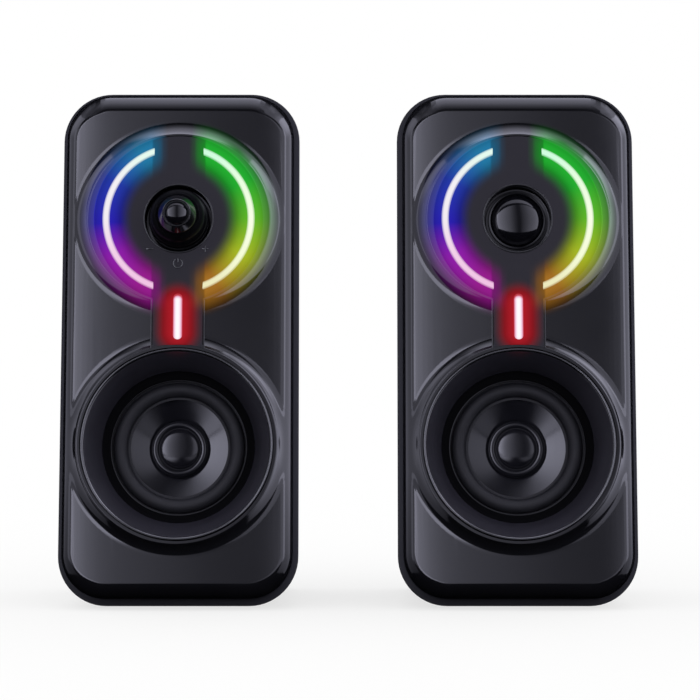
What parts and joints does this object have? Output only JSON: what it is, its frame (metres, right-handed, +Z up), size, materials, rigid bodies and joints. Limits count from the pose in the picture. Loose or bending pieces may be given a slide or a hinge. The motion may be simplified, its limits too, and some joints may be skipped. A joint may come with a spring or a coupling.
{
  "type": "desktop speaker pair",
  "caption": "Pair of glossy black desktop speakers with leaning fronts, light rings, horn-loaded woofers and a push-and-turn volume knob on the left speaker.",
  "frame": {"origin": "middle of the pair's box on the surface that it stands on", "axes": "+X to the passive (right) speaker, +Y from the front to the back, +Z up"},
  "size_m": [0.2244, 0.0998, 0.2007],
  "materials": {
    "gloss_black": "high gloss black moulding",
    "satin_black": "satin black moulding",
    "smoked_panel": "smoked satin panel",
    "cool_light_guide": "lit light guide, teal through blue to magenta",
    "warm_light_guide": "lit light guide, green through yellow to orange",
    "red_light_guide": "lit light guide, red",
    "circuit_board": "green circuit board",
    "rubber": "matt black rubber",
    "cone_film": "glossy black polymer film",
    "woven_spider": "resin-dipped cloth",
    "copper": "enamelled copper winding",
    "zinc_steel": "zinc-plated steel",
    "ferrite": "dark sintered ferrite"
  },
  "bodies": {
    "active_cabinet": {"active_front_panel": "gloss_black", "active_rear_shell": "satin_black", "active_foot_front": "rubber", "active_foot_rear": "rubber", "active_case_screw_1": "zinc_steel", "active_case_screw_2": "zinc_steel", "active_case_screw_3": "zinc_steel", "active_case_screw_4": "zinc_steel", "active_cable_gland": "rubber", "active_light_panel": "smoked_panel", "active_light_arc_left": "cool_light_guide", "active_light_arc_right": "warm_light_guide", "active_light_bar": "red_light_guide", "active_led_board": "circuit_board", "active_control_well": "gloss_black", "active_horn": "gloss_black", "active_basket": "zinc_steel", "active_surround": "rubber", "active_spider": "woven_spider", "active_top_plate": "zinc_steel", "active_magnet": "ferrite", "active_yoke": "zinc_steel", "active_volume_encoder": "zinc_steel", "active_encoder_nut": "zinc_steel", "active_amp_board": "circuit_board"},
    "volume_push_switch": {"active_switch_plunger": "satin_black"},
    "volume_knob": {"active_volume_knob": "gloss_black", "active_knob_cap": "gloss_black", "active_knob_shaft": "zinc_steel"},
    "active_diaphragm": {"active_cone": "cone_film", "active_dust_cap": "cone_film", "active_voice_coil": "copper"},
    "passive_cabinet": {"passive_front_panel": "gloss_black", "passive_rear_shell": "satin_black", "passive_foot_front": "rubber", "passive_foot_rear": "rubber", "passive_case_screw_1": "zinc_steel", "passive_case_screw_2": "zinc_steel", "passive_case_screw_3": "zinc_steel", "passive_case_screw_4": "zinc_steel", "passive_cable_gland": "rubber", "passive_light_panel": "smoked_panel", "passive_light_arc_left": "cool_light_guide", "passive_light_arc_right": "warm_light_guide", "passive_light_bar": "red_light_guide", "passive_led_board": "circuit_board", "passive_control_well": "gloss_black", "passive_horn": "gloss_black", "passive_basket": "zinc_steel", "passive_surround": "rubber", "passive_spider": "woven_spider", "passive_top_plate": "zinc_steel", "passive_magnet": "ferrite", "passive_yoke": "zinc_steel", "passive_blanking_dome": "gloss_black"},
    "passive_diaphragm": {"passive_cone": "cone_film", "passive_dust_cap": "cone_film", "passive_voice_coil": "copper"}
  },
  "joints": [
    {"name": "volume_push", "type": "slide", "parent": "active_cabinet", "child": "volume_push_switch", "axis": [0, 0.9903, -0.1392], "range_m": [0, 0.001], "stiffness_N_per_m": 1500},
    {"name": "volume_turn", "type": "hinge", "parent": "volume_push_switch", "child": "volume_knob", "pos_m": [-0.0657, -0.03238, 0.15046], "axis": [0, 0.9903, -0.1392], "range_deg": [-135, 135]},
    {"name": "active_cone_stroke", "type": "slide", "parent": "active_cabinet", "child": "active_diaphragm", "axis": [0, -0.9903, 0.1392], "range_m": [-0.0015, 0.0015], "stiffness_N_per_m": 1000, "deforming": ["active_surround", "active_spider"]},
    {"name": "passive_speaker_spacing", "type": "slide", "parent": "active_cabinet", "child": "passive_cabinet", "axis": [1, 0, 0], "range_m": [-0.03, 0.3]},
    {"name": "passive_cone_stroke", "type": "slide", "parent": "passive_cabinet", "child": "passive_diaphragm", "axis": [0, -0.9903, 0.1392], "range_m": [-0.0015, 0.0015], "stiffness_N_per_m": 1000, "deforming": ["passive_surround", "passive_spider"]}
  ]
}
